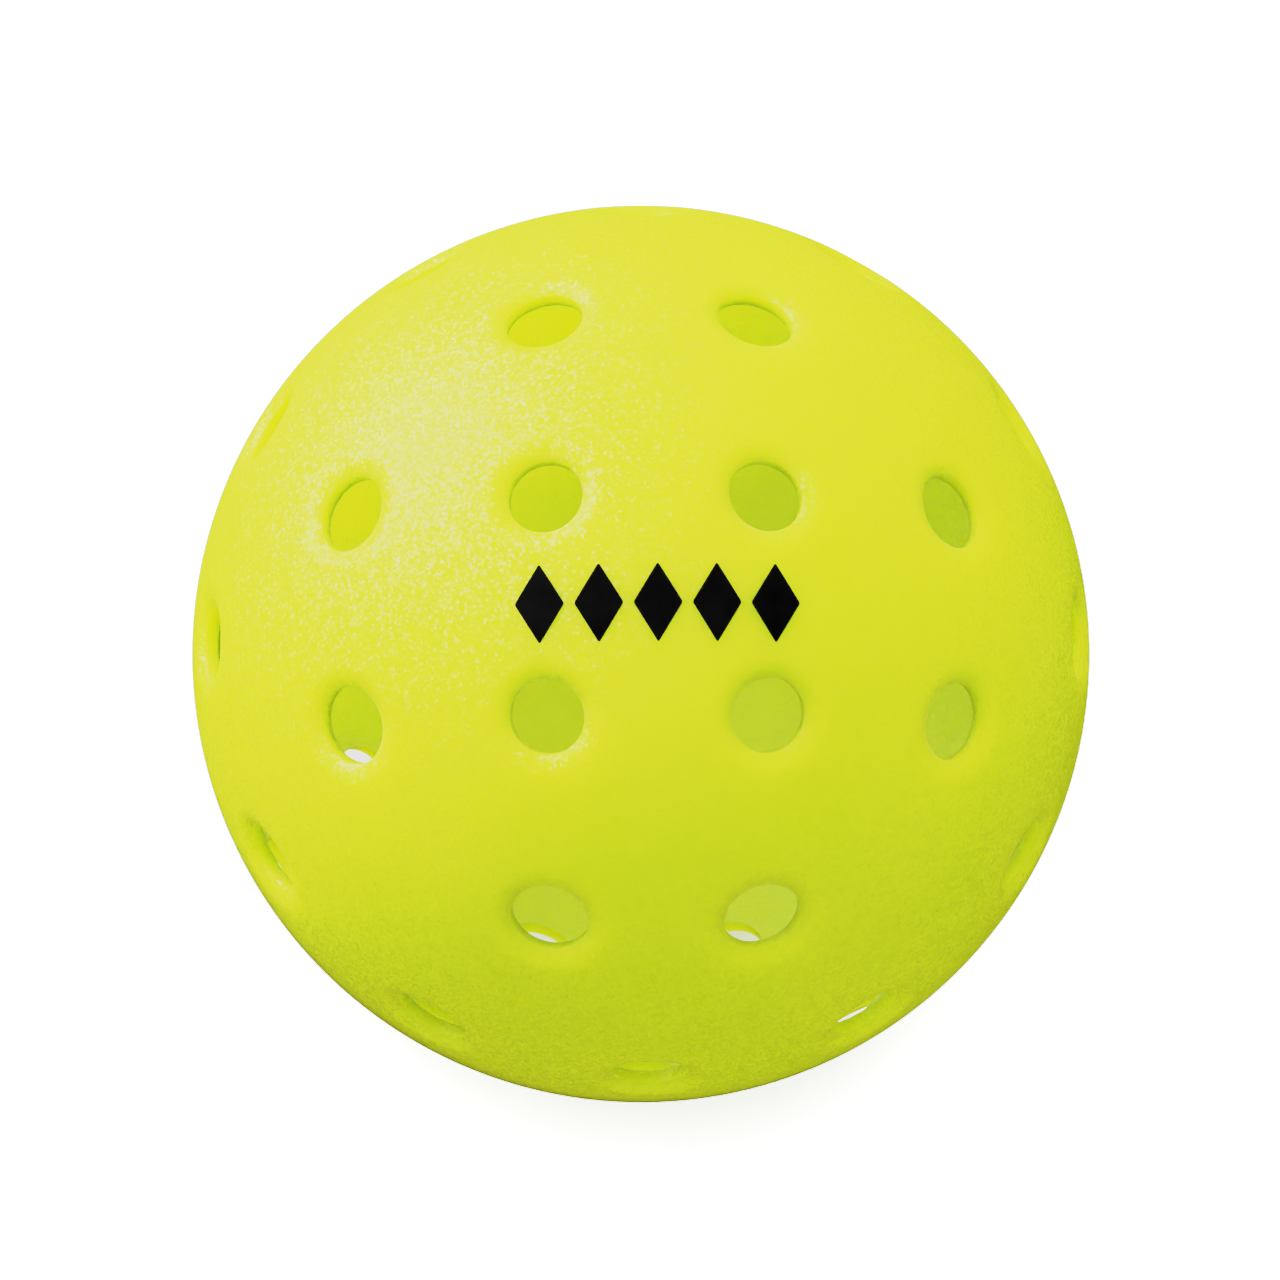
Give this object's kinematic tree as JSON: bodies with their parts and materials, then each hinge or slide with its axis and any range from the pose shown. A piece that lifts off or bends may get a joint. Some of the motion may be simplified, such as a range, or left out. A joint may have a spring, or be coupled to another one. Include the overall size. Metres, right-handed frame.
{
  "type": "pickleball ball",
  "caption": "Hollow perforated plastic ball for pickleball: moulded half shells welded at the equator, round air holes with softened rims, and a plain printed mark at the pole.",
  "frame": {"origin": "centre of the ball, in the plane of the weld", "axes": "+Z out through the middle of the printed pole, +X along the row of printed shapes, +Y across it; the weld lies in the XY plane"},
  "size_m": [0.074, 0.074, 0.0741],
  "materials": {
    "shell": "satin",
    "weld": "satin",
    "ink": "satin"
  },
  "bodies": {
    "root": {"upper_half_shell": "shell", "lower_half_shell": "shell", "weld_ring": "weld", "printed_mark": "ink"}
  },
  "joints": []
}
